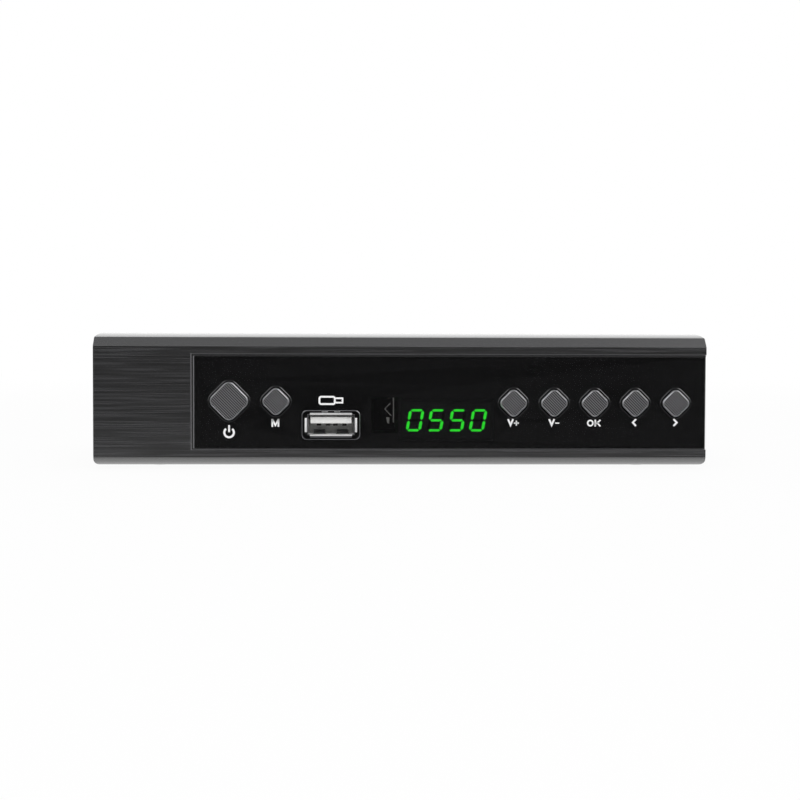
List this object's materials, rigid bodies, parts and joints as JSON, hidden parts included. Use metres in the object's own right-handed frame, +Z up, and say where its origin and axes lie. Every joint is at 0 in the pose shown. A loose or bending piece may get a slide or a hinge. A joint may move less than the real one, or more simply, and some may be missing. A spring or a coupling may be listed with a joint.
{
  "type": "terrestrial television receiver",
  "caption": "Slim set-top receiver with a brushed front, smoked window with a digit display, diamond push buttons, a front port, and a vented steel casing with sockets at the back.",
  "frame": {"origin": "middle of the whole box's footprint, on the surface that the four feet stand on", "axes": "+X along the front to the viewer's right, +Y from the front face to the sockets at the back, +Z up"},
  "size_m": [0.168, 0.1056, 0.0373],
  "materials": {
    "front_moulding": "dark grey ABS with a fine horizontal brushed grain, satin",
    "smoked_window": "black smoked acrylic, polished",
    "chassis_steel": "zinc-plated sheet",
    "cover_paint": "black baked paint, fine texture",
    "black_screws": "black zinc",
    "foot_rubber": "moulded rubber",
    "board_laminate": "green solder mask over copper",
    "zinc_screws": "zinc plated",
    "black_plastic": "black moulded insulator",
    "key_caps": "grey metallic lacquer over a knurled moulding, bright bevel",
    "plunger_plastic": "black moulded",
    "switch_steel": "tinned cover",
    "display_body": "black epoxy",
    "display_light": "green light segments",
    "eye_epoxy": "dark infrared epoxy",
    "port_steel": "bright nickel",
    "port_insulator": "white insulator",
    "contact_metal": "gold flashed",
    "tinned_steel": "tinned sheet",
    "socket_nickel": "nickel plated",
    "chip_epoxy": "black epoxy package",
    "black_anodised": "black anodised",
    "capacitor_sleeve": "dark blue sleeve"
  },
  "bodies": {
    "receiver": {"front_panel": "front_moulding", "front_window": "smoked_window", "chassis": "chassis_steel", "top_cover": "cover_paint", "cover_screws": "black_screws", "foot_front_left": "foot_rubber", "foot_front_right": "foot_rubber", "foot_rear_left": "foot_rubber", "foot_rear_right": "foot_rubber", "main_board": "board_laminate", "key_board": "board_laminate", "board_screws": "zinc_screws", "key_board_screws": "zinc_screws", "board_link": "black_plastic", "av_socket_housing": "black_plastic", "video_socket_tongue": "black_plastic", "audio_jack_body": "black_plastic", "power_inlet": "black_plastic", "power_switch": "switch_steel", "menu_switch": "switch_steel", "volume_up_switch": "switch_steel", "volume_down_switch": "switch_steel", "ok_switch": "switch_steel", "left_switch": "switch_steel", "right_switch": "switch_steel", "display_module": "display_body", "display_segments": "display_light", "ir_receiver": "eye_epoxy", "front_port_shell": "port_steel", "front_port_tongue": "port_insulator", "front_port_contacts": "contact_metal", "aerial_in_contact": "contact_metal", "loop_out_pin": "contact_metal", "av_socket_contacts": "contact_metal", "network_jack_contacts": "contact_metal", "tuner_can": "tinned_steel", "network_jack": "tinned_steel", "aerial_in_socket": "socket_nickel", "loop_out_socket": "socket_nickel", "av_socket_shell": "socket_nickel", "video_socket_shell": "socket_nickel", "audio_jack_sleeve": "socket_nickel", "power_inlet_pin": "socket_nickel", "chips": "chip_epoxy", "heat_sink": "black_anodised", "capacitors": "capacitor_sleeve"},
    "power_button": {"power_button": "key_caps", "power_plunger": "plunger_plastic"},
    "menu_button": {"menu_button": "key_caps", "menu_plunger": "plunger_plastic"},
    "volume_up_button": {"volume_up_button": "key_caps", "volume_up_plunger": "plunger_plastic"},
    "volume_down_button": {"volume_down_button": "key_caps", "volume_down_plunger": "plunger_plastic"},
    "ok_button": {"ok_button": "key_caps", "ok_plunger": "plunger_plastic"},
    "left_button": {"left_button": "key_caps", "left_plunger": "plunger_plastic"},
    "right_button": {"right_button": "key_caps", "right_plunger": "plunger_plastic"}
  },
  "joints": [
    {"name": "power_press", "type": "slide", "parent": "receiver", "child": "power_button", "axis": [0, 1, 0], "range_m": [0, 0.0005], "stiffness_N_per_m": 2500},
    {"name": "menu_press", "type": "slide", "parent": "receiver", "child": "menu_button", "axis": [0, 1, 0], "range_m": [0, 0.0005], "stiffness_N_per_m": 2500},
    {"name": "volume_up_press", "type": "slide", "parent": "receiver", "child": "volume_up_button", "axis": [0, 1, 0], "range_m": [0, 0.0005], "stiffness_N_per_m": 2500},
    {"name": "volume_down_press", "type": "slide", "parent": "receiver", "child": "volume_down_button", "axis": [0, 1, 0], "range_m": [0, 0.0005], "stiffness_N_per_m": 2500},
    {"name": "ok_press", "type": "slide", "parent": "receiver", "child": "ok_button", "axis": [0, 1, 0], "range_m": [0, 0.0005], "stiffness_N_per_m": 2500},
    {"name": "left_press", "type": "slide", "parent": "receiver", "child": "left_button", "axis": [0, 1, 0], "range_m": [0, 0.0005], "stiffness_N_per_m": 2500},
    {"name": "right_press", "type": "slide", "parent": "receiver", "child": "right_button", "axis": [0, 1, 0], "range_m": [0, 0.0005], "stiffness_N_per_m": 2500}
  ]
}
